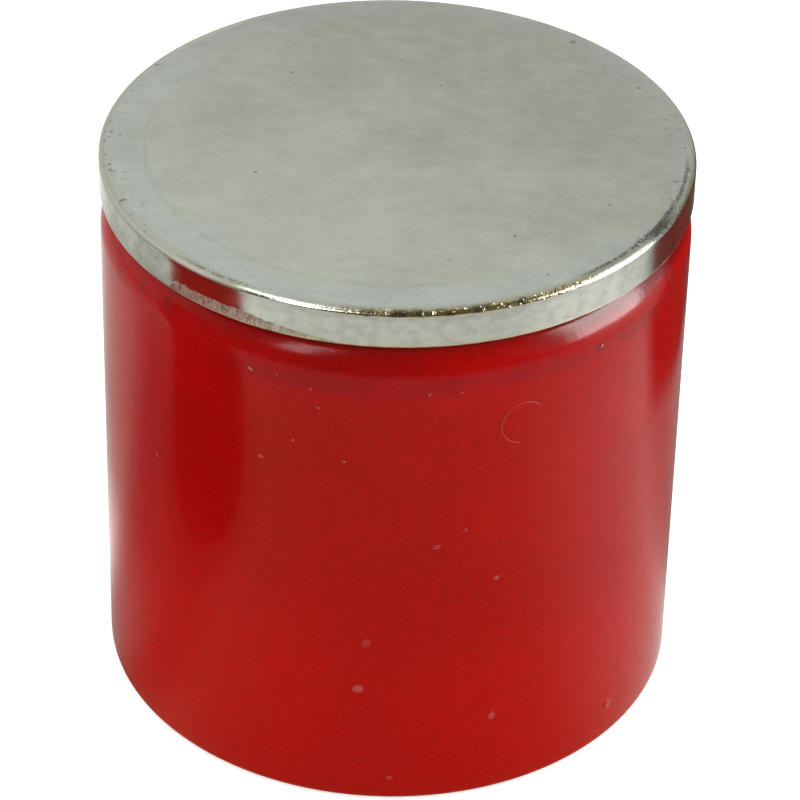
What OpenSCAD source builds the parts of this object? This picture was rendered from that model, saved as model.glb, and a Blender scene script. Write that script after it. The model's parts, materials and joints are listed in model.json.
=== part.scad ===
// Deep pot magnet with its keeper disc.
// A turned steel pot holds a rod magnet, with a non-magnetic sleeve between the two,
// and the three are ground flush as the pole face. The keeper is a steel disc that lies on
// that face. The base has a tapped hole for a fixing screw. +Z runs up the axis, and the
// base stands on z = 0.

/* [Pot] */
// Outside diameter of the pot
pot_d = 27; // [20:0.5:60]
// Height of the pot, from its base to the pole face
pot_h = 25.4; // [16:0.1:60]
// Thickness of the pot's wall
pot_wall = 3.5; // [2.5:0.1:5]
// Radius of the rounded shoulder between the side and the pole face
shoulder_r = 2; // [0.3:0.1:3]
// Radius of the lower edge of the pot
foot_r = 0.4; // [0.1:0.05:2]

/* [Magnet] */
// Thickness of the sleeve's wall; the rod magnet fills what is left inside it
sleeve_wall = 2.4; // [0.5:0.1:6]
// Glue line on each side of the sleeve
glue_gap = 0.05; // [0.01:0.01:0.2]
// Chamfer on the rod's lower edge, clear of the corner of its seat
core_chamfer = 0.4; // [0.1:0.1:2]

/* [Tapped hole] */
// Nominal diameter of the thread
thread_d = 6; // [4:1:10]
// Pitch of the thread
thread_pitch = 1; // [0.5:0.05:1.5]
// Depth of the hole at its full diameter, from the base
hole_depth = 7; // [3:0.5:12]
// Point angle of the drill that leaves the cone at the end of the hole
drill_angle = 118; // [90:1:140]
// Width of the countersink outside the thread
mouth_lip = 0.2; // [0.05:0.05:2]
// Steel left between the end of the hole and the magnet's seat
seat_web = 0.9; // [0.4:0.1:4]

/* [Keeper] */
// Thickness of the keeper
keeper_t = 1.9; // [1:0.1:6]
// Radius that blanking leaves on the keeper's upper edge
roll_r = 0.25; // [0.05:0.05:0.8]
// Radius of the keeper's lower edge, where the burr was taken off
deburr_r = 0.15; // [0.02:0.01:0.2]

/* [Hidden] */
$fn = 128;

pot_r = pot_d / 2;
bore_r = pot_r - pot_wall;
sleeve_outer_r = bore_r - glue_gap;
sleeve_inner_r = sleeve_outer_r - sleeve_wall;
core_r = sleeve_inner_r - glue_gap;
keeper_r = pot_r;

// The hole is drilled for the tap, and its wall carries the thread's crests
tap_r = (thread_d - thread_pitch) / 2;
mouth_r = thread_d / 2 + mouth_lip;
mouth_depth = mouth_r - tap_r;
tip_h = tap_r / tan(drill_angle / 2);
seat_z = hole_depth + tip_h + seat_web;
fill_h = pot_h - seat_z;

// How far a cutting shape runs past the face that it cuts
past = 1;

// What a fillet of radius r removes from a corner that points to +X and +Y
module corner_waste(r) {
    translate([-r, -r])
        difference() {
            square(r + past);
            circle(r);
        }
}

module pot_section() {
    difference() {
        square([pot_r, pot_h]);
        // Bore for the magnet and its sleeve
        translate([0, seat_z])
            square([bore_r, fill_h + past]);
        // Turned edges
        translate([pot_r, pot_h])
            corner_waste(shoulder_r);
        translate([pot_r, 0])
            mirror([0, 1])
                corner_waste(foot_r);
        // Countersink, hole and drill point
        polygon([
            [0, -past],
            [mouth_r + past, -past],
            [tap_r, mouth_depth],
            [tap_r, hole_depth],
            [0, hole_depth + tip_h]
        ]);
    }
}

module pot() {
    color("firebrick")
        rotate_extrude()
            pot_section();
}

module magnet_core() {
    color("dimgray")
        translate([0, 0, seat_z])
            rotate_extrude()
                polygon([
                    [0, 0],
                    [core_r - core_chamfer, 0],
                    [core_r, core_chamfer],
                    [core_r, fill_h],
                    [0, fill_h]
                ]);
}

module spacer_sleeve() {
    color("lightgray")
        translate([0, 0, seat_z])
            difference() {
                cylinder(r = sleeve_outer_r, h = fill_h);
                translate([0, 0, -past])
                    cylinder(r = sleeve_inner_r, h = fill_h + 2 * past);
            }
}

module keeper() {
    color("silver")
        translate([0, 0, pot_h])
            rotate_extrude()
                difference() {
                    square([keeper_r, keeper_t]);
                    translate([keeper_r, keeper_t])
                        corner_waste(roll_r);
                    translate([keeper_r, 0])
                        mirror([0, 1])
                            corner_waste(deburr_r);
                }
}

pot();
magnet_core();
spacer_sleeve();
keeper();
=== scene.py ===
"""Deep pot magnet with its keeper disc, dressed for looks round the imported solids."""
import json
import math

import bpy
from mathutils import Matrix, Quaternion, Vector, noise as soft_noise


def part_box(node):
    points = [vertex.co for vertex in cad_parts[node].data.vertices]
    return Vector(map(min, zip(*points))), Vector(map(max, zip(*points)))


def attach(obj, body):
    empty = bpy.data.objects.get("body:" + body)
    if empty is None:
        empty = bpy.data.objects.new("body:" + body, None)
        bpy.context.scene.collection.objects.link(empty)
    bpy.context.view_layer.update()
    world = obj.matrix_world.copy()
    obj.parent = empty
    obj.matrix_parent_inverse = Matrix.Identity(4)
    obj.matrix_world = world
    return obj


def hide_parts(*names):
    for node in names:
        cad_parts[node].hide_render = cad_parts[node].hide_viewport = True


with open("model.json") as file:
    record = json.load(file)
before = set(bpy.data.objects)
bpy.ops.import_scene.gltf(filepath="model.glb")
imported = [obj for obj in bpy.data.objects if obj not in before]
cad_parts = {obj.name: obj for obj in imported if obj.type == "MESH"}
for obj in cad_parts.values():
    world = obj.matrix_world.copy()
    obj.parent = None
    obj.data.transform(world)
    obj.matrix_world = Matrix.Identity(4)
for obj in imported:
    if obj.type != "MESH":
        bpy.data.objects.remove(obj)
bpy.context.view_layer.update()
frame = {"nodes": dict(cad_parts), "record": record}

MM = 0.001


# ---- Pot -----------------------------------------------------------------------------
# The pot is one turned mild-steel cup with a rounded shoulder and a tapped hole in its base.
# It is sprayed with gloss red enamel, but the pole face, the bore and the hole stay bare.
# It stands on its base, and it carries the rod magnet, the sleeve and the keeper.
pot_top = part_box("pot")[1]
POT_R = pot_top.x
POT_H = pot_top.z
SEAT_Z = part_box("magnet_core")[0].z
GLUE_LINE = 0.05 * MM
BORE_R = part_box("spacer_sleeve")[1].x + GLUE_LINE
SHOULDER_R = 2.0 * MM
FOOT_R = 0.4 * MM

base_thread = next(m for m in frame["record"]["mounts"] if m["name"] == "base_thread")
TAP_R = base_thread["dims"]["r_mm"] * MM
MOUTH_DEPTH = base_thread["pos_m"][2]
HOLE_DEPTH = MOUTH_DEPTH + base_thread["dims"]["length_mm"] * MM
THREAD_PITCH = 1.0 * MM
THREAD_DEPTH = 0.5 * MM
THREAD_ROWS = 16            # rows of faces to one turn of the thread
THREAD_CREST = 0.3          # width of the thread's crest, as a share of the pitch
THREAD_ROOT = 0.125         # width of its root
THREAD_END = 1.0 * MM       # the tap's lead, over which the thread fades out
SEAM = 0.0005 * MM          # points that lie closer than this are merged
DRILL_ANGLE = math.radians(118)
TURNED_SEGMENTS = 192
SHARP_EDGE = math.radians(40)


def arc(centre, radii, start, end, steps):
    """Points of an arc in a half section, as (radius, height), from one angle to another."""
    angles = [math.radians(start + (end - start) * i / steps) for i in range(steps + 1)]
    return [
        (centre[0] + radii[0] * math.cos(a), centre[1] + radii[1] * math.sin(a))
        for a in angles
    ]


def line(start, end, steps):
    """Points of a straight run in a half section, after its start."""
    return [
        (
            start[0] + (end[0] - start[0]) * i / steps,
            start[1] + (end[1] - start[1]) * i / steps,
        )
        for i in range(1, steps + 1)
    ]


class Wire:
    """A socket in a node tree. Arithmetic on it adds Math nodes to the tree."""

    def __init__(self, tree, socket=None):
        self.tree = tree
        self.socket = socket

    def add(self, kind, settings=None, inputs=None, out=0):
        """Adds a node: its settings first, then its inputs, and returns one of its outputs."""
        node = self.tree.nodes.new(kind)
        for name, value in (settings or {}).items():
            setattr(node, name, value)
        self.fill(node, inputs or {})
        return Wire(self.tree, node.outputs[out])

    def fill(self, node, inputs):
        """Sets a node's inputs: a value is written on the socket, and a Wire is linked to it."""
        for name, value in inputs.items():
            if isinstance(value, Wire):
                self.tree.links.new(value.socket, node.inputs[name])
            else:
                node.inputs[name].default_value = value

    def maths(self, operation, *values):
        """A Math node on it and on the values."""
        inputs = dict(enumerate((self, *values)))
        return self.add("ShaderNodeMath", {"operation": operation}, inputs)

    def between(self, low, high):
        """0 at low, 1 at high, and smooth between the two."""
        settings = {"interpolation_type": "SMOOTHSTEP"}
        inputs = {"Value": self, "From Min": low, "From Max": high}
        return self.add("ShaderNodeMapRange", settings, inputs)

    def within(self, start, full, fade, end):
        """0 outside start and end, 1 from full to fade, and smooth between them."""
        return self.between(start, full) * self.between(end, fade)

    def vector(self, operation, *others, out=0):
        """A Vector Math node on it. Its out is "Value" where the result is a number."""
        inputs = dict(enumerate((self, *others)))
        return self.add("ShaderNodeVectorMath", {"operation": operation}, inputs, out)

    def axis(self, name):
        """One of a vector's coordinates, by its name."""
        return self.add("ShaderNodeSeparateXYZ", inputs={0: self}, out=name)

    def __add__(self, other):
        return self.maths("ADD", other)

    __radd__ = __add__

    def __mul__(self, other):
        return self.maths("MULTIPLY", other)

    __rmul__ = __mul__

    def __sub__(self, other):
        return self.maths("SUBTRACT", other)

    def __rsub__(self, other):
        return self * -1 + other

    def __truediv__(self, other):
        return self.maths("DIVIDE", other)


def new_tree(name, **inputs):
    """Starts a Geometry Nodes tree with named inputs. Returns it, its output and its inputs."""
    tree = bpy.data.node_groups.new(name, "GeometryNodeTree")
    tree.interface.new_socket(
        name="Geometry", in_out="OUTPUT", socket_type="NodeSocketGeometry"
    )
    for label, kind in inputs.items():
        tree.interface.new_socket(
            name=label.replace("_", " "), in_out="INPUT", socket_type="NodeSocket" + kind
        )
    start = tree.nodes.new("NodeGroupInput")
    end = tree.nodes.new("NodeGroupOutput")
    given = {label: Wire(tree, start.outputs[i]) for i, label in enumerate(inputs)}
    return tree, end, given


def turned_part_tree():
    """Sweeps a half section round Z, cuts a right-hand thread where the section asks for one,
    and adds what is stuck on the surface."""
    tree, end, given = new_tree(
        "Turned part",
        Half_section="Geometry",
        Segments="Int",
        Thread_bore="Float",
        Thread_depth="Float",
        Thread_pitch="Float",
        Grit="Object",
        Finish="Material",
        Bare_metal="Material",
    )
    nodes = Wire(tree)
    section = given["Half_section"]
    rows = nodes.add(
        "GeometryNodeAttributeDomainSize", {"component": "MESH"}, {"Geometry": section}
    )
    grid = nodes.add(
        "GeometryNodeMeshGrid",
        inputs={"Vertices X": given["Segments"] + 1, "Vertices Y": rows},
    )
    index = nodes.add("GeometryNodeInputIndex")
    row = index.maths("MODULO", rows)
    turn = (index / rows).maths("FLOOR") / given["Segments"]

    def from_section(value, kind):
        return nodes.add(
            "GeometryNodeSampleIndex",
            {"data_type": kind},
            {"Geometry": section, "Value": value, "Index": row},
        )

    def mark(name):
        return nodes.add(
            "GeometryNodeInputNamedAttribute", {"data_type": "FLOAT"}, {"Name": name}
        )

    place = from_section(nodes.add("GeometryNodeInputPosition"), "FLOAT_VECTOR")
    radius = place.axis("X")
    height = place.axis("Z")
    # Along the thread, the phase is 0 on the middle of the root and 0.5 on the crest
    phase = (height / given["Thread_pitch"] - turn).maths("FRACT")
    groove = (phase * 2 - 1).maths("ABSOLUTE")
    cut = nodes.add(
        "ShaderNodeMapRange",
        inputs={"Value": groove, "From Min": THREAD_CREST, "From Max": 1 - THREAD_ROOT},
    )
    threaded = from_section(mark("threaded"), "FLOAT")
    thread_r = given["Thread_bore"] + given["Thread_depth"] * cut * threaded
    radius = radius.maths("MAXIMUM", thread_r * threaded.maths("GREATER_THAN", 0))
    angle = turn * math.tau
    swept = nodes.add(
        "ShaderNodeCombineXYZ",
        inputs={
            "X": radius * angle.maths("COSINE"),
            "Y": radius * angle.maths("SINE"),
            "Z": height,
        },
    )
    bare = from_section(mark("bare"), "FLOAT")
    skin = nodes.add(
        "GeometryNodeStoreNamedAttribute",
        inputs={"Geometry": grid, "Name": "bare", "Value": bare},
    )
    skin = nodes.add("GeometryNodeSetPosition", inputs={"Geometry": skin, "Position": swept})
    # The seam and the poles close here
    skin = nodes.add("GeometryNodeMergeByDistance", inputs={"Geometry": skin, "Distance": SEAM})
    grit = nodes.add("GeometryNodeObjectInfo", inputs={"Object": given["Grit"]}, out="Geometry")
    both = tree.nodes.new("GeometryNodeJoinGeometry")
    tree.links.new(grit.socket, both.inputs[0])
    tree.links.new(skin.socket, both.inputs[0])
    whole = nodes.add("GeometryNodeRealizeInstances", inputs={0: Wire(tree, both.outputs[0])})
    whole = nodes.add(
        "GeometryNodeSetMaterial", inputs={"Geometry": whole, "Material": given["Finish"]}
    )
    all_bare = mark("bare").maths("GREATER_THAN", 0.9)
    whole = nodes.add(
        "GeometryNodeSetMaterial",
        inputs={"Geometry": whole, "Selection": all_bare, "Material": given["Bare_metal"]},
    )
    tree.links.new(whole.socket, end.inputs[0])
    return tree


def section_mesh(name, points, **marks):
    """A half section as a chain of points in the XZ plane, with a number for each mark."""
    mesh = bpy.data.meshes.new(name)
    chain = [(i, i + 1) for i in range(len(points) - 1)]
    mesh.from_pydata([(r, 0, z) for r, z in points], chain, [])
    for mark, values in marks.items():
        layer = mesh.attributes.new(mark, "FLOAT", "POINT")
        layer.data.foreach_set("value", values)
    return mesh


def grow(name, mesh, tree, **values):
    """Runs a tree on a mesh, and returns an object that holds the result as a plain mesh."""
    piece = bpy.data.objects.new(name, mesh)
    bpy.context.scene.collection.objects.link(piece)
    modifier = piece.modifiers.new("Shape", "NODES")
    modifier.node_group = tree
    for item in tree.interface.items_tree:
        label = item.name.replace(" ", "_")
        if label in values:
            modifier[item.identifier] = values[label]
    graph = bpy.context.evaluated_depsgraph_get()
    result = bpy.data.meshes.new_from_object(piece.evaluated_get(graph))
    piece.modifiers.remove(modifier)
    piece.data = result
    return piece


def smooth(piece):
    """Shades the piece smooth, with an edge wherever its faces turn sharply."""
    piece.data.shade_smooth()
    piece.data.set_sharp_from_angle(angle=SHARP_EDGE)


def new_finish(name):
    """Starts a material. Returns it, its shader and the place on the piece in millimetres."""
    material = bpy.data.materials.new(name)
    material.use_nodes = True
    nodes = Wire(material.node_tree)
    spot = nodes.add("ShaderNodeTexCoord", out="Object")
    inputs = {"Vector": spot, "Scale": (1 / MM, 1 / MM, 1 / MM)}
    place = nodes.add("ShaderNodeMapping", inputs=inputs)
    return material, material.node_tree.nodes["Principled BSDF"], place


def stretched(place, x, y, z):
    """The place with each axis scaled, to draw a pattern out or press it together."""
    return place.vector("MULTIPLY", (x, y, z))


def grain(place, size, detail=2.0):
    """Soft noise with grains about that many millimetres wide. It is 0.5 on average."""
    inputs = {"Vector": place, "Scale": 1 / size, "Detail": detail}
    return place.add("ShaderNodeTexNoise", inputs=inputs)


def tint(share, plain, other):
    """A colour, or another one where share is 1."""
    inputs = {0: share, 6: plain, 7: other}
    return share.add("ShaderNodeMix", {"data_type": "RGBA"}, inputs, out=2)


def relief(height):
    """A normal for a shader, from a height in metres."""
    return height.add("ShaderNodeBump", inputs={"Height": height, "Distance": 1.0})


# Red enamel, sprayed and stoved. It has orange peel, a few pale grains under the gloss, and
# a line of dirt where a cloth doesn't reach, just under the shoulder. What follows measures
# in millimetres, up the pot and across it.
ENAMEL_RED = (0.455, 0.0006, 0.0002, 1)
ENAMEL_THIN = (0.42, 0.0006, 0.0002, 1)
ENAMEL_BOUNCE_LIT = (0.505, 0.0008, 0.0003, 1)
ENAMEL_BOUNCE_LIT_LEFT = (0.58, 0.0010, 0.0004, 1)
ENAMEL_KEEPER_SHADE = (0.34, 0.0004, 0.0002, 1)
ENAMEL_DARKER_RIGHT = (0.20, 0.0006, 0.0006, 1)
ENAMEL_DARK = (0.09, 0.0004, 0.0003, 1)
ENAMEL_IOR = 1.25           # its gloss is a little rubbed
DIRT = (0.09, 0.006, 0.012, 1)
DUST = (0.60, 0.30, 0.26, 1)

# Finger marks at the shoulder: bearing from the front in degrees, height, width, strength
SMUDGES = (
    (67.0, 23.8, 0.65, 0.64),
    (42.3, 23.4, 0.50, 0.60),
    (38.0, 23.4, 0.40, 0.37),
    (32.0, 23.7, 0.45, 0.34),
    (11.3, 23.5, 0.50, 0.45),
    (59.0, 20.8, 0.40, 0.26),
    (-19.5, 23.1, 0.60, 0.26),
    (-31.0, 23.2, 0.50, 0.22),
    (-48.0, 24.6, 0.70, 0.49),
    (-57.0, 24.4, 0.60, 0.49),
    (-65.0, 23.6, 0.55, 0.41),
    (-52.0, 23.3, 0.50, 0.30),
)


def on_pot(bearing, z):
    """A point on the pot's side, and the way straight out from it there."""
    a = math.radians(bearing)
    outward = Vector((math.sin(a), -math.cos(a), 0))
    return outward * POT_R + Vector((0, 0, z)), outward


enamel, shader, place = new_finish("red enamel")
height = place.axis("Z")
across = place.axis("X")

# Lighter low down, most of all at the front left: painted light from the table's bounce. On the
# shoulder it has painted shade in the middle, under the keeper's rim, and is darker at the right.
shade = grain(place, 5.0).between(0.3, 0.7)
colour = tint(shade, ENAMEL_RED, ENAMEL_THIN)
colour = tint(height.between(12.0, 6.0), colour, ENAMEL_BOUNCE_LIT)
bounce_lit_left = height.between(17.0, 6.0) * across.within(-13.3, -10.0, -5.0, -0.5)
colour = tint(bounce_lit_left * 0.9, colour, ENAMEL_BOUNCE_LIT_LEFT)
keeper_rim_shade = height.within(23.2, 24.0, 24.2, 25.2) * across.within(-6.0, -3.0, -0.5, 3.5)
colour = tint(keeper_rim_shade, colour, ENAMEL_KEEPER_SHADE)
shoulder_darker_right = height.between(24.05, 24.65) * across.between(5.5, 8.5)
colour = tint(shoulder_darker_right * 0.95, colour, ENAMEL_DARKER_RIGHT)

# It is finely mottled, with a trace of dust in it
mottle = grain(place, 0.09, 2.0).between(0.3, 0.7)
colour = tint(mottle * 0.30, colour, ENAMEL_DARK)
patchy = grain(place, 0.5, 3.0).between(0.35, 0.65)
colour = tint(patchy * 0.09, colour, ENAMEL_DARK)
haze = grain(place, 0.12, 2.0).between(0.35, 0.70)
colour = tint(haze * 0.010, colour, DUST)

# The line of dirt wavers and breaks up, and it fades out at the left
strayed = height + grain(place, 5.0, 2.0) - 0.5
dirt_line = strayed.within(22.6, 23.1, 23.4, 23.8)
dirt_line *= grain(place, 1.6, 4.0).between(0.30, 0.60) * 0.7 + 0.3
dirt_line *= across.between(-8.5, -4.5)
specks = grain(place, 0.13, 3.0).between(0.45, 0.60)
dirt = dirt_line * (specks * 0.26 + 0.13)
for bearing, z, width, strength in SMUDGES:
    gap = place.vector("DISTANCE", on_pot(bearing, z * MM)[0] / MM, out="Value")
    smudge = (gap + patchy * width * 0.6).between(width * 1.3, width * 0.4)
    dirt = dirt.maths("MAXIMUM", smudge * (specks * 0.4 + 0.6) * strength)
colour = tint(dirt, colour, DIRT)
# Painted shade in the narrow gap just under the keeper's rim
keeper_gap_shade = height.between(24.78, 24.99)
colour = tint(keeper_gap_shade * 0.6, colour, ENAMEL_DARK)

# A grain or a hair shows paler, the more so the higher it swells: pale dust, with a painted
# highlight on its top
pale = place.add("ShaderNodeAttribute", {"attribute_name": "dust"}, out="Fac")
swell = place.add("ShaderNodeAttribute", {"attribute_name": "swell"}, out="Fac")
dust_and_sheen = pale * swell.between(0.1, 1.0)
colour = tint(dust_and_sheen * 0.8, colour, DUST)

# Orange peel, wide and narrow, and scuffs on the shoulder
shoulder = height.between(23.2, 23.8)
scuffs = grain(stretched(place, 1.0, 1.0, 0.6), 0.3, 4.0)
peel = (
    grain(place, 0.9, 1.0) * (1.2e-3 * MM)
    + grain(place, 4.0, 0.0) * (12e-3 * MM)
    + mottle * (0.40e-3 * MM)
    + scuffs * shoulder * (6.5e-3 * MM)
)
place.fill(
    shader,
    {
        "Base Color": colour,
        "Roughness": dirt * 0.25 + dust_and_sheen * 0.2 + shoulder * 0.04 + 0.13,
        "IOR": ENAMEL_IOR,
        "Normal": relief(peel),
    },
)

# Bare mild steel inside the cup and on the pole face: turned, then ground or tapped
BARE_STEEL = (0.42, 0.41, 0.39, 1)
STEEL_STAIN = (0.30, 0.27, 0.23, 1)

bare_steel, shader, place = new_finish("bare mild steel")
stain = grain(place, 2.2, 3.0).between(0.45, 0.75)
tool_lines = grain(stretched(place, 0.2, 0.2, 9.0), 0.6, 2.0)
place.fill(
    shader,
    {
        "Base Color": tint(stain, BARE_STEEL, STEEL_STAIN),
        "Metallic": 1.0,
        "Roughness": stain * 0.15 + 0.30,
        "Normal": relief(tool_lines * (3e-3 * MM)),
    },
)

# Grains in the enamel: bearing from the front in degrees, height up the pot, width, length
# along the lean, all in millimetres, lean in degrees from level, and how pale the grain is, with
# its painted highlight.
GRAINS = (
    (-5.2, 6.6, 0.50, 0.60, 20, 0.27),
    (-3.8, 9.3, 0.45, 0.60, 60, 0.11),
    (9.1, 14.7, 0.30, 0.38, 0, 0.15),
    (21.1, 12.5, 0.26, 0.32, 0, 0.27),
    (21.3, 4.5, 0.40, 0.50, 80, 0.21),
    (50.8, 2.0, 0.50, 0.60, 40, 0.18),
    (1.2, 1.4, 0.30, 0.36, 0, 0.15),
    (-50.8, 15.9, 0.22, 0.26, 0, 0.15),
    (-24.8, 18.7, 0.20, 0.32, 10, 0.33),
    (-18.3, 20.0, 0.14, 0.22, 60, 0.33),
    (-8.5, 19.3, 0.16, 0.20, 0, 0.33),
    (-27.0, 23.2, 0.16, 0.34, -20, 0.60),
    (-15.0, 22.9, 0.12, 0.20, 0, 0.30),
    (-13.5, 22.0, 0.12, 0.26, -25, 0.30),
    (7.0, 23.0, 0.14, 0.22, 60, 0.30),
    (13.0, 23.0, 0.12, 0.16, 0, 0.26),
    (14.5, 15.5, 0.20, 0.24, 0, 0.12),
    (-21.5, 23.3, 0.12, 0.14, 0, 0.24),
    (42.5, 23.4, 0.16, 0.26, 10, 0.50),
)
GRAIN_RISE = 0.05 * MM
GRAIN_SEGMENTS = 24
GRAIN_RINGS = 20

# A hair that settled in the wet enamel, curled to a C: its middle, the radius of the curl, its
# first and last angle, and the hair's own thickness and paleness
HAIR_BEARING = 25.5
HAIR_Z = 20.8 * MM
HAIR_CURL = 1.05 * MM
HAIR_FROM, HAIR_TO = 40, 262
HAIR_STEPS = 40
HAIR_SIDES = 8
HAIR_R = 0.018 * MM
HAIR_PALE = 0.25


def grit_mesh():
    """A loose point for each grain, with its size and turn, and a chain for the hair."""
    points, sizes, turns, pale = [], [], [], []
    for bearing, z, width, length, lean, paleness in GRAINS:
        point, outward = on_pot(bearing, z * MM)
        level = Vector((0, 0, 1)).cross(outward)
        lean = math.radians(lean)
        along = level * math.cos(lean) + Vector((0, 0, math.sin(lean)))
        axes = Matrix((along, outward.cross(along), outward)).transposed()
        points.append(point)
        sizes.append((length * MM, width * MM, 2 * GRAIN_RISE))
        turns.append(axes.to_euler())
        pale.append(paleness)
    first = len(points)
    for i in range(HAIR_STEPS + 1):
        a = math.radians(HAIR_FROM + (HAIR_TO - HAIR_FROM) * i / HAIR_STEPS)
        bearing = HAIR_BEARING + math.degrees(HAIR_CURL * math.cos(a) / POT_R)
        points.append(on_pot(bearing, HAIR_Z + HAIR_CURL * math.sin(a))[0])
        sizes.append((0, 0, 0))
        turns.append((0, 0, 0))
        pale.append(HAIR_PALE)
    chain = [(i, i + 1) for i in range(first, len(points) - 1)]
    mesh = bpy.data.meshes.new("grit")
    mesh.from_pydata(points, chain, [])
    for name, values in (("size", sizes), ("turn", turns)):
        layer = mesh.attributes.new(name, "FLOAT_VECTOR", "POINT")
        layer.data.foreach_set("vector", [n for vector in values for n in vector])
    mesh.attributes.new("dust", "FLOAT", "POINT").data.foreach_set("value", pale)
    return mesh


def grit_tree():
    """Puts a flat grain on every loose point, and draws a round hair along the chain."""
    tree, end, given = new_tree(
        "Grit in enamel", Marks="Geometry", Hair_radius="Float", Finish="Material"
    )
    nodes = Wire(tree)

    def mark(name):
        return nodes.add(
            "GeometryNodeInputNamedAttribute", {"data_type": "FLOAT_VECTOR"}, {"Name": name}
        )

    width = mark("size").vector("LENGTH", out="Value")
    lump = nodes.add(
        "GeometryNodeMeshUVSphere",
        inputs={"Segments": GRAIN_SEGMENTS, "Rings": GRAIN_RINGS, "Radius": 0.5},
    )
    rise = nodes.add("GeometryNodeInputPosition").axis("Z") * 2
    lump = nodes.add(
        "GeometryNodeStoreNamedAttribute", inputs={"Geometry": lump, "Name": "swell", "Value": rise}
    )
    grains = nodes.add(
        "GeometryNodeInstanceOnPoints",
        inputs={
            "Points": given["Marks"],
            "Selection": width.maths("GREATER_THAN", 0),
            "Instance": lump,
            "Rotation": mark("turn"),
            "Scale": mark("size"),
        },
    )
    path = nodes.add("GeometryNodeMeshToCurve", inputs={"Mesh": given["Marks"]})
    ring = nodes.add(
        "GeometryNodeCurvePrimitiveCircle",
        inputs={"Resolution": HAIR_SIDES, "Radius": given["Hair_radius"]},
    )
    hair = nodes.add(
        "GeometryNodeCurveToMesh",
        inputs={"Curve": path, "Profile Curve": ring, "Fill Caps": True},
    )
    hair = nodes.add(
        "GeometryNodeStoreNamedAttribute", inputs={"Geometry": hair, "Name": "swell", "Value": 1.0}
    )
    both = tree.nodes.new("GeometryNodeJoinGeometry")
    tree.links.new(grains.socket, both.inputs[0])
    tree.links.new(hair.socket, both.inputs[0])
    whole = nodes.add("GeometryNodeRealizeInstances", inputs={0: Wire(tree, both.outputs[0])})
    whole = nodes.add(
        "GeometryNodeSetMaterial", inputs={"Geometry": whole, "Material": given["Finish"]}
    )
    tree.links.new(whole.socket, end.inputs[0])
    return tree


def pot_section():
    """The pot's half section, from the middle of the seat round to the tip of the hole."""
    tip_z = HOLE_DEPTH + TAP_R / math.tan(DRILL_ANGLE / 2)
    mouth_r = TAP_R + MOUTH_DEPTH
    row = THREAD_PITCH / THREAD_ROWS
    bore = [(0, SEAT_Z)] + line((0, SEAT_Z), (BORE_R, SEAT_Z), 4)
    bore += line((BORE_R, SEAT_Z), (BORE_R, POT_H), 8)
    shoulder = arc((POT_R - SHOULDER_R, POT_H - SHOULDER_R), (SHOULDER_R,) * 2, 90, 0, 20)
    side = line((POT_R, POT_H - SHOULDER_R), (POT_R, FOOT_R), 24)
    foot = arc((POT_R - FOOT_R, FOOT_R), (FOOT_R,) * 2, 0, -90, 8)[1:]
    base = line((POT_R - FOOT_R, 0), (mouth_r, 0), 5)
    mouth = line((mouth_r, 0), (TAP_R, MOUTH_DEPTH), round(MOUTH_DEPTH / row))
    wall = line(
        (TAP_R, MOUTH_DEPTH), (TAP_R, HOLE_DEPTH), round((HOLE_DEPTH - MOUTH_DEPTH) / row)
    )
    tip = line((TAP_R, HOLE_DEPTH), (0, tip_z), 4)
    painted = shoulder[1:] + side + foot + base[:-1]
    hole = base[-1:] + mouth + wall
    points = bore + shoulder[:1] + painted + hole + tip
    fade = [min(1.0, (HOLE_DEPTH - z) / THREAD_END) for _, z in hole]
    threaded = [0.0] * (len(points) - len(hole) - len(tip)) + fade + [0.0] * len(tip)
    bare = [1.0] * (len(bore) + 1) + [0.0] * len(painted) + [1.0] * (len(hole) + len(tip))
    return section_mesh("pot section", points, threaded=threaded, bare=bare)


grit = grow("grit", grit_mesh(), grit_tree(), Hair_radius=HAIR_R, Finish=enamel)
turned_part = turned_part_tree()
pot = grow(
    "pot_enamelled",
    pot_section(),
    turned_part,
    Segments=TURNED_SEGMENTS,
    Thread_bore=TAP_R,
    Thread_depth=THREAD_DEPTH,
    Thread_pitch=THREAD_PITCH,
    Grit=grit,
    Finish=enamel,
    Bare_metal=bare_steel,
)
bpy.data.objects.remove(grit)
smooth(pot)
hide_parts("pot")
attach(pot, "root")


# ---- Rod magnet ----------------------------------------------------------------------
# The rod is cast alnico, dark and grainy down its side. It stands on the floor of the cup,
# and its top is ground flush with the pole face. It is bonded in, inside the sleeve.
ALNICO = (0.30, 0.30, 0.30, 1)
ALNICO_DARK = (0.20, 0.195, 0.19, 1)


def dress(node, finish):
    """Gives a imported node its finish."""
    finishes = frame["nodes"][node].data.materials
    finishes.clear()
    finishes.append(finish)


alnico, shader, place = new_finish("cast alnico")
crystals = grain(place, 1.1, 4.0).between(0.4, 0.65)
grinding = grain(stretched(place, 0.08, 1.0, 1.0), 0.09, 2.0)
place.fill(
    shader,
    {
        "Base Color": tint(crystals, ALNICO, ALNICO_DARK),
        "Metallic": 1.0,
        "Roughness": crystals * 0.12 + 0.42,
        "Normal": relief(grinding * (3e-3 * MM) + grain(place, 0.4, 3.0) * (14e-3 * MM)),
    },
)
dress("magnet_core", alnico)


# ---- Sleeve --------------------------------------------------------------------------
# The sleeve is a turned aluminium ring, with the tool's fine rings on it. It keeps the rod's
# field out of the cup's wall, and it is bonded between the two and ground flush with them.
SLEEVE_BRIGHT = (0.60, 0.60, 0.61, 1)
SLEEVE_DULL = (0.48, 0.48, 0.50, 1)

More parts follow.
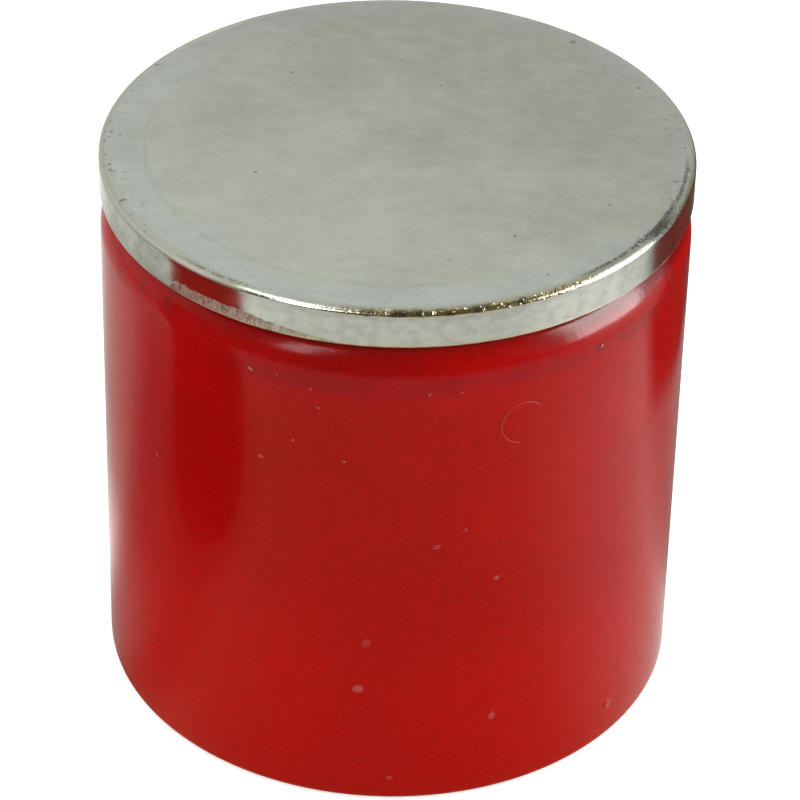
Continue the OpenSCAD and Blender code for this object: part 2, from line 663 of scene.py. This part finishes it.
sleeve_metal, shader, place = new_finish("turned aluminium")
dull = grain(place, 1.8, 3.0).between(0.4, 0.7)
tool_rings = grain(stretched(place, 0.15, 0.15, 6.0), 0.5, 2.0)
grinding = grain(stretched(place, 0.08, 1.0, 1.0), 0.09, 2.0)
place.fill(
    shader,
    {
        "Base Color": tint(dull, SLEEVE_BRIGHT, SLEEVE_DULL),
        "Metallic": 1.0,
        "Roughness": dull * 0.1 + 0.34,
        "Normal": relief(tool_rings * (4e-3 * MM) + grinding * (2e-3 * MM)),
    },
)
dress("spacer_sleeve", sleeve_metal)


# ---- Keeper --------------------------------------------------------------------------
# The keeper is a disc of mild steel, blanked from strip and plated. The punch rolled its
# upper edge over, burnished the upper part of its side and tore the lower part. It lies
# loose on the pole face, and the magnet alone holds it there.
keeper_low, keeper_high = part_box("keeper")
KEEPER_R = keeper_high.x
KEEPER_LOW = keeper_low.z
KEEPER_TOP = keeper_high.z
ROLL_WIDTH = 0.60 * MM      # how far in the rolled edge reaches
ROLL_DROP = 0.25 * MM       # how far down it reaches
DISH_R = 12.0 * MM          # outside this the face starts to fall away to the rolled edge
DISH_DROP = 0.01 * MM
TORN_LOW = 0.14 * MM        # height of the torn part of the side, where it is lowest
TORN_HIGH = 0.66 * MM       # the same at the front left, where the die stood further off
TORN_FROM_X, TORN_TO_X = -2.0 * MM, -7.0 * MM
SOUND_FROM_X = -9.4 * MM    # to the left of this it is low again
TORN_DEPTH = 0.02 * MM
TORN_GRAIN = 0.4 * MM       # how wide each of the tear's hollows is
TORN_FADE = 0.25            # the share of its height over which the tear's depth fades out
LOWER_EDGE_R = 0.15 * MM
KEEPER_SEGMENTS = 720


def keeper_section():
    """The keeper's half section, from the middle of its face round to that of its underside."""
    dish_end = KEEPER_R - ROLL_WIDTH
    face = [(0, KEEPER_TOP)] + line((0, KEEPER_TOP), (DISH_R, KEEPER_TOP), 6)
    for r, z in line((DISH_R, KEEPER_TOP), (dish_end, KEEPER_TOP), 6):
        face.append((r, z - DISH_DROP * ((r - DISH_R) / (dish_end - DISH_R)) ** 2))
    roll = arc(
        (dish_end, KEEPER_TOP - ROLL_DROP), (ROLL_WIDTH, ROLL_DROP - DISH_DROP), 90, 0, 14
    )[1:]
    land = line(roll[-1], (KEEPER_R, KEEPER_LOW + TORN_HIGH), 5)
    torn = line(land[-1], (KEEPER_R, KEEPER_LOW + LOWER_EDGE_R), 8)
    lower_edge = arc(
        (KEEPER_R - LOWER_EDGE_R, KEEPER_LOW + LOWER_EDGE_R), (LOWER_EDGE_R,) * 2, 0, -90, 5
    )[1:]
    under = line(lower_edge[-1], (0, KEEPER_LOW), 5)
    points = face + roll + land + torn + lower_edge + under
    nothing = [0.0] * len(points)
    return section_mesh("keeper section", points, threaded=nothing, bare=nothing)


def tear(mesh):
    """Pulls the torn part of the side in by a different depth along each short stretch."""
    for vertex in mesh.vertices:
        leftward = (vertex.co.x - TORN_FROM_X) / (TORN_TO_X - TORN_FROM_X)
        leftward = min(1.0, max(0.0, leftward)) * (vertex.co.x > SOUND_FROM_X)
        torn_height = TORN_LOW + (TORN_HIGH - TORN_LOW) * leftward
        up = (vertex.co.z - KEEPER_LOW) / torn_height
        out = vertex.co.xy.length
        if 0 < up < 1 and out > KEEPER_R - LOWER_EDGE_R:
            grainy = soft_noise.noise(vertex.co / TORN_GRAIN) * 0.5 + 0.5
            share = min(1.0, (1 - up) / TORN_FADE) * min(1.0, up / TORN_FADE)
            vertex.co.xy *= 1 - TORN_DEPTH * share * grainy / out


# The plating's colours: over the face, on the side and where it is torn, on the roll, in pits
PLATE_LIGHT = (0.475, 0.510, 0.432, 1)
PLATE_SHADE_AND_SCRIBE = (0.345, 0.358, 0.300, 1)
PLATE_PINKISH = (0.420, 0.405, 0.355, 1)
PLATE_BLUE = (0.475, 0.515, 0.482, 1)
PLATE_BLUE_SHADE = (0.355, 0.378, 0.355, 1)
PLATE_SIDE = (0.550, 0.563, 0.520, 1)
PLATE_TORN = (0.680, 0.660, 0.600, 1)
PLATE_RED_REFLECTION = (0.500, 0.300, 0.265, 1)
PLATE_STAIN = (0.240, 0.225, 0.150, 1)
PLATE_MATT = (0.380, 0.402, 0.356, 1)
PLATE_WARM_REFLECTION = (0.440, 0.390, 0.260, 1)
PLATE_EDGE_GLINT = (0.700, 0.660, 0.600, 1)
PLATE_PIT = (0.06, 0.06, 0.06, 1)

# Pinholes in the face: how far to the right and to the back of the middle, and how wide
PINHOLES = (
    (5.2, -7.3, 0.20),
    (9.4, -4.6, 0.18),
    (8.1, 9.6, 0.36),
    (11.1, 5.5, 0.26),
    (-6.3, -2.6, 0.18),
    (-5.0, 6.2, 0.22),
    (1.9, 5.3, 0.16),
    (2.4, -9.4, 0.20),
    (6.6, -10.3, 0.18),
    (-6.6, -6.2, 0.14),
)

plated_steel, shader, place = new_finish("plated steel")
east = place.axis("X")
north = place.axis("Y")
height = place.axis("Z")
flat = stretched(place, 1, 1, 0)
rim = flat.vector("LENGTH", out="Value")
top_z = KEEPER_TOP / MM
low_z = KEEPER_LOW / MM

# The face is lighter at the front left than at the back right, as a painted reflection, and faintly
# mottled
clouds = grain(place, 3.2, 4.0) - 0.5
painted_falloff = (east * 0.50 + north * 0.86 + clouds * 24.0).between(-13.0, 12.0)
colour = tint(painted_falloff, PLATE_LIGHT, PLATE_SHADE_AND_SCRIBE)
mottle = grain(stretched(place, 0.6, 1.0, 1.0), 1.4, 3.0).between(0.45, 0.70)
colour = tint(mottle * 0.4, colour, PLATE_PINKISH)
fine = grain(stretched(place, 0.5, 1.0, 1.0), 0.13, 2.0) - 0.5
coarse = grain(stretched(place, 0.6, 1.0, 1.0), 0.7, 5.0) - 0.5
shading = fine * 0.34 + coarse * 0.34

# Round the edge the face is bluish, a painted reflection of the room. A faint ring is scribed on it
# at the front left.
border = flat.vector("SUBTRACT", (0.7, 0.3, 0)).vector("LENGTH", out="Value")
wander = (grain(place, 4.5, 4.0) - 0.5) * 5.0
rim_reflection = (border + wander).between(11.0, 12.8)
colour = tint(rim_reflection * 0.75, colour, tint(painted_falloff, PLATE_BLUE, PLATE_BLUE_SHADE))
scribed = rim.within(11.22, 11.42, 11.45, 11.65) * (east + north).between(-6.0, -10.0)
colour = tint(scribed * 0.25, colour, PLATE_SHADE_AND_SCRIBE)
colour = tint(shading.between(0.25, -0.25) * 0.30, colour, PLATE_PIT)

# Dark nicks crowd the edge at the left and the right, and pinholes are strewn over the face
crowded = rim.between(11.6, 13.2) * east.maths("ABSOLUTE").between(8.0, 12.5)
flecks = grain(stretched(place, 0.7, 1.0, 1.0), 0.24, 2.0)
pitted = (flecks + crowded * 0.09).between(0.70, 0.78) * crowded
for right, back, width in PINHOLES:
    gap = place.vector("DISTANCE", (right, back, top_z), out="Value")
    hole = (gap + fine * 0.25).between(width * 0.6, width * 0.1)
    pitted = pitted.maths("MAXIMUM", hole * 0.7)
scratches = grain(place, 0.10, 2.0)
clusters = grain(place, 0.9, 2.0).between(0.38, 0.54)
right_burr = rim.between(12.80, 13.00) * east.between(9.9, 10.9) * north.between(-3.2, -5.0)
right_burr *= clusters * scratches.between(0.45, 0.53) * 1.3
left_burr = rim.between(13.05, 13.25) * east.within(-10.0, -8.4, -6.8, -5.5)
left_burr *= north.between(0, -2) * scratches.between(0.42, 0.51)
pitted = pitted.maths("MAXIMUM", right_burr).maths("MAXIMUM", left_burr)
side = height.between(top_z - 0.05, top_z - 0.12)
pitted = pitted * (1 - side)
colour = tint(pitted * 0.72, colour, PLATE_PIT)

# The side is burnished, stained at the left and a little darker to the right
rubbed = grain(stretched(place, 0.6, 0.6, 1.0), 0.35, 4.0).between(0.35, 0.75)
side_colour = tint(rubbed * 0.22, PLATE_SIDE, PLATE_PIT)
stains = grain(stretched(place, 0.5, 0.5, 0.6), 0.8, 3.0).between(0.48, 0.62)
side_colour = tint(stains * east.between(-7.0, -9.0) * 0.3, side_colour, PLATE_STAIN)
lower_side = height.between(low_z + 1.0, low_z + 0.2) * east.between(-7.5, -9.0)
side_colour = tint(lower_side * 0.3, side_colour, PLATE_STAIN)
side_colour = tint(east.between(2.5, 5.5) * 0.12, side_colour, PLATE_PIT)
side_colour = tint(east.between(9.3, 10.5) * 0.18, side_colour, PLATE_PIT)
upper_side = height.between(top_z - 0.60, top_z - 0.35)
side_colour = tint(upper_side * 0.12, side_colour, PLATE_PIT)
colour = tint(side, colour, side_colour)

# The roll is gold at the front, a painted reflection of the warm room there, dark in patches,
# darkened at the right, matt at the left, and creased along its upper edge where it is brightest
above_side = height.between(top_z - 0.30, top_z - 0.23)
rolled = above_side * height.between(top_z - 0.02, top_z - 0.07)
warm_reflection = rolled * east.within(-3.5, -0.5, 7.5, 9.5)
warm_reflection *= (rim + scratches * 0.30).between(13.08, 13.24)
colour = tint(warm_reflection, colour, PLATE_WARM_REFLECTION)
dark_reflection = warm_reflection * grain(place, 0.8, 3.0).between(0.44, 0.58) * 0.7
colour = tint(dark_reflection, colour, PLATE_PIT)
dulled_roll = rolled * east.between(-6.0, -7.2)
colour = tint(dulled_roll * 0.6, colour, PLATE_STAIN)
whole_roll = above_side * rim.between(12.92, 13.02)
roll_darkened_right = whole_roll * east.between(10.8, 11.5) * north.between(-4.2, -6.4)
colour = tint(roll_darkened_right * (scratches.between(0.40, 0.55) * 0.25 + 0.70), colour, PLATE_PIT)
matt_roll = whole_roll * east.between(-6.4, -8.0) * (1 - pitted)
steep = height.between(top_z - 0.06, top_z - 0.18) * east.between(-7.4, -8.6)
colour = tint(matt_roll * 0.85, colour, tint(steep, PLATE_MATT, PLATE_SIDE))
creased = rim.within(12.96, 13.04, 13.12, 13.20) * (1 - side)
creased *= east.between(7.6, 8.8) * north.between(0, -2)
colour = tint(creased * scratches.between(0.36, 0.50) * 0.8, colour, PLATE_PIT)

# The torn strip is ragged at the left, with a painted reflection of red in it, and a painted glint
# runs along its foot
leftward = east.between(TORN_FROM_X / MM, TORN_TO_X / MM)
leftward *= east.between(SOUND_FROM_X / MM - 0.5, SOUND_FROM_X / MM)
torn_height = leftward * ((TORN_HIGH - TORN_LOW) / MM) + TORN_LOW / MM
ragged = (grain(stretched(place, 1, 1, 0.4), 0.45, 3.0) * 0.30 - 0.15) * leftward
torn = ((height + ragged - low_z) - torn_height).between(0.03, -0.03)
teeth = grain(stretched(place, 1, 1, 0.30), 0.13, 3.0)
torn_and_red_reflection = tint(grain(place, 0.22, 3.0).between(0.52, 0.66), PLATE_TORN, PLATE_RED_REFLECTION)
colour = tint(torn * leftward * 0.8, colour, torn_and_red_reflection)
colour = tint(torn * teeth.between(0.42, 0.62) * (leftward * 0.20 + 0.20), colour, PLATE_PIT)
edge_glint = height.between(low_z + 0.17, low_z + 0.12) * grain(place, 1.0, 3.0).between(0.30, 0.60)
colour = tint(edge_glint, colour, PLATE_EDGE_GLINT)

# Fine and coarse wear on the face, the teeth of the tear, and nicks and dents in the roll
nicks = grain(place, 0.14, 3.0)
dents = grain(stretched(place, 0.6, 1.0, 1.0), 0.12, 0.0).between(0.60, 0.85)
marks = (
    fine * (1 - side) * (2e-3 * MM)
    + coarse * (1 - side) * (4e-3 * MM)
    + teeth * torn * (30e-3 * MM)
    + nicks * (rolled * 0.5 + warm_reflection * 0.5) * (16e-3 * MM)
    - dents * warm_reflection * (30e-3 * MM)
    + rubbed * side * (1.5e-3 * MM)
)
place.fill(
    shader,
    {
        "Base Color": colour,
        "Metallic": 1.0,
        "Roughness": (1 - side) * (mottle * 0.04 + 0.28)
        + side * 0.14
        + torn * (leftward * 0.16 + 0.24)
        + pitted * 0.3
        + dulled_roll * 0.36
        + matt_roll * 0.12
        + warm_reflection * 0.04,
        "Normal": relief(marks),
    },
)

keeper = grow(
    "keeper_disc",
    keeper_section(),
    turned_part,
    Segments=KEEPER_SEGMENTS,
    Thread_bore=0.0,
    Thread_depth=0.0,
    Thread_pitch=THREAD_PITCH,
    Finish=plated_steel,
    Bare_metal=plated_steel,
)
tear(keeper.data)
smooth(keeper)
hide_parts("keeper")
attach(keeper, "root")


# ---- Studio --------------------------------------------------------------------------
# A white table, a white wall behind the magnet on the left and a dark room round the rest. Soft
# lamps stand on the right, at the front left and overhead. Two more red magnets stand to the
# left and behind on the right, where only gloss and metal show them.
def bearing_vector(bearing, elevation):
    """The way to a bearing from the front and a height above the horizon, in degrees."""
    b, e = math.radians(bearing), math.radians(elevation)
    return Vector((math.sin(b) * math.cos(e), -math.cos(b) * math.cos(e), math.sin(e)))


AIM = Vector((0, 0, POT_H / 2))
LAMP_DISTANCE = 0.5


def softbox(name, bearing, elevation, width, height, radiance, soft_edge=0.0, lean=0.0):
    """A soft lamp that faces the magnet. Its radiance is what a mirror would show, and
    soft_edge is how much of its width and height the fall to dark takes on each side. It
    leans by some degrees, with its top towards greater bearings."""
    light = bpy.data.lights.new(name, "AREA")
    light.shape = "RECTANGLE"
    light.size = width
    light.size_y = height
    light.energy = radiance * math.pi * width * height
    if soft_edge:
        light.use_nodes = True
        spot = Wire(light.node_tree).add("ShaderNodeNewGeometry", out="Parametric")
        across = spot.axis("X")
        up = spot.axis("Y")
        fall = across.maths("MINIMUM", 1 - across).between(0, soft_edge)
        fall *= up.maths("MINIMUM", 1 - up).between(0, soft_edge)
        spot.fill(light.node_tree.nodes["Emission"], {"Strength": fall})
    lamp = bpy.data.objects.new(name, light)
    away = bearing_vector(bearing, elevation)
    lamp.location = AIM + away * LAMP_DISTANCE
    upright = away.to_track_quat("Z", "Y")
    lamp.rotation_euler = (upright @ Quaternion((0, 0, 1), math.radians(-lean))).to_euler()
    lamp.visible_camera = False
    bpy.context.scene.collection.objects.link(lamp)
    return lamp


# What gloss and metal mirror, and apart from it what lights the colours
for mirrored_lamp in (
    softbox("right softbox", 87.0, 23.3, 0.33, 0.46, 23.0, 0.12, 12),
    softbox("right softbox's spill", 108, 42, 0.46, 0.36, 2.6, 0.3),
    softbox("right softbox's glow", 105, 3, 0.24, 0.38, 2.7, 0.2),
    softbox("left softbox", -36.6, 41.3, 0.095, 0.28, 9.8, 0.12, 10),
    softbox("left strip light", -47, 62, 0.36, 0.07, 7.0, 0.25),
    softbox("overhead softbox", -98, 71, 0.22, 0.22, 3.4, 0.3),
):
    mirrored_lamp.visible_diffuse = False
softbox("key", 65, 15, 0.30, 0.30, 2.7).visible_glossy = False

world = bpy.data.worlds.new("studio")
world.use_nodes = True
world.cycles.sampling_method = "NONE"
bpy.context.scene.world = world
tree = world.node_tree
nodes = Wire(tree)
ray = tree.nodes.new("ShaderNodeLightPath")
seen = Wire(tree, ray.outputs["Is Camera Ray"])
glossy = Wire(tree, ray.outputs["Is Glossy Ray"])
mirrored = glossy + Wire(tree, ray.outputs["Is Transmission Ray"])
way = nodes.add("ShaderNodeTexCoord", out="Generated")
forward = way.axis("Y") * -1
right = way.axis("X")
to_wall = way.vector("DOT_PRODUCT", bearing_vector(-145, 5), out="Value")
ROOM_DARK = (0.14, 0.115, 0.05, 1)
ROOM_WARM = (0.56, 0.54, 0.36, 1)
ROOM_WHITE = (1.0, 1.0, 0.98, 1)
AMBIENT_LEFT = (1.30, 1.30, 1.28, 1)
AMBIENT_RIGHT = (1.06, 1.06, 1.05, 1)
AMBIENT_FRONT = (0.40, 0.40, 0.39, 1)
WHITE = (1, 1, 1, 1)
room = tint(to_wall.between(0.08, 0.38), ROOM_DARK, ROOM_WARM)
room = tint(to_wall.between(0.36, 0.62), room, ROOM_WHITE)
ambient = tint(right.between(-1.0, 0.6), AMBIENT_LEFT, AMBIENT_RIGHT)
ambient = tint(forward.between(0.2, 1.0), ambient, AMBIENT_FRONT)
sky = tint(mirrored.maths("MINIMUM", 1), ambient, room)
sky = tint(seen, sky, WHITE)
nodes.fill(tree.nodes["Background"], {"Color": sky, "Strength": 1.0})

FLOOR_SIDE = 1.6
table = bpy.data.meshes.new("table")
half = FLOOR_SIDE / 2
table.from_pydata(
    [(-half, -half, 0), (half, -half, 0), (half, half, 0), (-half, half, 0)], [], [(0, 1, 2, 3)]
)
floor = bpy.data.objects.new("table", table)
bpy.context.scene.collection.objects.link(floor)
LEFT_NEIGHBOUR = bearing_vector(-63.4, 0) * 36.9 * MM
LEFT_NEIGHBOUR_R = 9.2 * MM
LEFT_NEIGHBOUR_H = 30 * MM
LEFT_NEIGHBOUR_RED = (0.38, 0.015, 0.01, 1)
RIGHT_NEIGHBOUR = bearing_vector(120.3, 0) * 47.2 * MM
RIGHT_NEIGHBOUR_R = 13.7 * MM
RIGHT_NEIGHBOUR_H = 27 * MM
RIGHT_NEIGHBOUR_RED = (0.24, 0.04, 0.03, 1)

# The table is plain white paper. A mirror shows it brightest on the lamp's side, with the
# soft shadows of the magnet and of its neighbours.
PAPER = (0.85, 0.85, 0.84, 1)
PAPER_GLOW = 0.6            # what the camera sees on top of the light that falls on the paper
PAPER_NEAR = (1.0, 0.88, 0.54, 1)
PAPER_FAR = (1.0, 1.0, 0.93, 1)

# Patches that a mirror shows darker or lighter: the bearing from the magnet, the cosines of
# the angles to it at which the patch starts and is full, the distances in millimetres at
# which it starts and is full, and the share by which it changes the paper's brightness
PATCHES = (
    (-78, 0.86, 0.99, 54, 38, -0.66),
    (-112, 0.80, 0.97, 20, 30, -0.30),
    (-98, 0.85, 0.98, 24, 17, 0.90),
    (0, 0.50, 0.95, 0, 10, -0.22),
    (80, 0.60, 0.95, 36, 46, -0.08),
    (98, 0.80, 0.97, 70, 140, 0.90),
    (125, 0.86, 0.99, 0, 10, -0.65),
    (142, 0.90, 0.98, 30, 36, -0.80),
)

paper = bpy.data.materials.new("white paper")
paper.use_nodes = True
paper.cycles.emission_sampling = "NONE"
tree = paper.node_tree
nodes = Wire(tree)
spot = nodes.add("ShaderNodeTexCoord", out="Object")
outward = spot.vector("NORMALIZE")
from_axis = spot.vector("LENGTH", out="Value")


def toward(bearing):
    """1 straight out from the magnet at a bearing, and less to each side of it."""
    return outward.vector("DOT_PRODUCT", bearing_vector(bearing, 0), out="Value")


def shadow(middle, radius, reach):
    """How dark it is at the foot of a neighbour, from 0 to 1."""
    gap = spot.vector("DISTANCE", middle, out="Value")
    return gap.between(radius + reach, radius)


mirrored_table = toward(90).between(0.55, 0.95) * 0.28 + 1.05
for bearing, edge, full, from_mm, to_mm, change in PATCHES:
    patch = toward(bearing).between(edge, full) * from_axis.between(from_mm * MM, to_mm * MM)
    mirrored_table *= patch * change + 1
band = from_axis.within(31 * MM, 34.5 * MM, 40 * MM, 45 * MM)
mirrored_table *= 1 - toward(118).between(0.94, 0.985) * band * 0.75
mirrored_table *= from_axis.between(POT_R, POT_R + 30 * MM) * 0.44 + 0.56
mirrored_table *= 1 - shadow(LEFT_NEIGHBOUR, LEFT_NEIGHBOUR_R, 5 * MM) * 0.5
mirrored_table *= 1 - shadow(RIGHT_NEIGHBOUR, RIGHT_NEIGHBOUR_R, 4 * MM) * 0.5
# Far out the table is dark, but for the way to the wall and to the lamp
far = from_axis.between(90 * MM, 260 * MM)
far_dim = 0.8 - toward(-120).between(0.50, 0.95) * 0.6 - toward(98).between(0.80, 0.97) * 0.8
mirrored_table *= 1 - far * far_dim
ray = tree.nodes.new("ShaderNodeLightPath")
plain = tree.nodes["Principled BSDF"]
nodes.fill(
    plain,
    {
        "Base Color": PAPER,
        "Roughness": 1.0,
        "Specular IOR Level": 0.0,
        "Emission Color": WHITE,
        "Emission Strength": Wire(tree, ray.outputs["Is Camera Ray"]) * PAPER_GLOW,
    },
)
# Close to the magnet, on the front's side, the paper looks creamy
creamy = from_axis.between(50 * MM, 40 * MM) * toward(-10).between(0.1, 0.8)
paper_colour = tint(creamy, PAPER_FAR, PAPER_NEAR)
mirrored_paper = nodes.add(
    "ShaderNodeEmission", inputs={"Color": paper_colour, "Strength": mirrored_table}
)
either = nodes.add(
    "ShaderNodeMixShader",
    inputs={
        0: Wire(tree, ray.outputs["Is Glossy Ray"]),
        1: Wire(tree, plain.outputs[0]),
        2: mirrored_paper,
    },
)
nodes.fill(tree.nodes["Material Output"], {"Surface": either})
table.materials.append(paper)


def neighbour(name, middle, radius, height, red):
    """Another magnet on the table, out of the picture, which only reflections show."""
    sides = 48
    foot = []
    for i in range(sides):
        a = i * math.tau / sides
        foot.append(middle + Vector((math.cos(a), math.sin(a), 0)) * radius)
    top = [point + Vector((0, 0, height)) for point in foot]
    faces = [(i, (i + 1) % sides, (i + 1) % sides + sides, i + sides) for i in range(sides)]
    faces.append(tuple(range(sides, 2 * sides)))
    mesh = bpy.data.meshes.new(name)
    mesh.from_pydata(foot + top, [], faces)
    shade = bpy.data.materials.new(name)
    shade.use_nodes = True
    shade.cycles.emission_sampling = "NONE"
    # Its red is a glow: painted light standing in for a lit red magnet
    Wire(shade.node_tree).fill(
        shade.node_tree.nodes["Principled BSDF"],
        {
            "Base Color": (0, 0, 0, 1),
            "Specular IOR Level": 0.0,
            "Emission Color": red,
            "Emission Strength": 1.0,
        },
    )
    mesh.materials.append(shade)
    prop = bpy.data.objects.new(name, mesh)
    bpy.context.scene.collection.objects.link(prop)
    prop.visible_camera = False
    prop.visible_diffuse = False
    prop.visible_shadow = False


neighbour(
    "left neighbour", LEFT_NEIGHBOUR, LEFT_NEIGHBOUR_R, LEFT_NEIGHBOUR_H, LEFT_NEIGHBOUR_RED
)
neighbour(
    "right neighbour", RIGHT_NEIGHBOUR, RIGHT_NEIGHBOUR_R, RIGHT_NEIGHBOUR_H, RIGHT_NEIGHBOUR_RED
)

CAMERA_ELEVATION = 35.33
CAMERA_DISTANCE = 187.1 * MM
CAMERA_LENS = 178.3
CAMERA_ROLL = 1.38
CAMERA_AIM = Vector((0.375, 0, 13.187)) * MM
camera_data = bpy.data.cameras.new("camera")
camera_data.sensor_width = 36
camera_data.lens = CAMERA_LENS
camera_data.clip_start = 0.005
camera_data.clip_end = 10
camera = bpy.data.objects.new("camera", camera_data)
away = bearing_vector(0, CAMERA_ELEVATION)
upright = away.to_track_quat("Z", "Y").to_matrix().to_4x4()
roll = Matrix.Rotation(math.radians(CAMERA_ROLL), 4, "Z")
camera.matrix_world = Matrix.Translation(CAMERA_AIM + away * CAMERA_DISTANCE) @ upright @ roll
bpy.context.scene.collection.objects.link(camera)
bpy.context.scene.camera = camera
bpy.context.scene.view_settings.view_transform = "Standard"
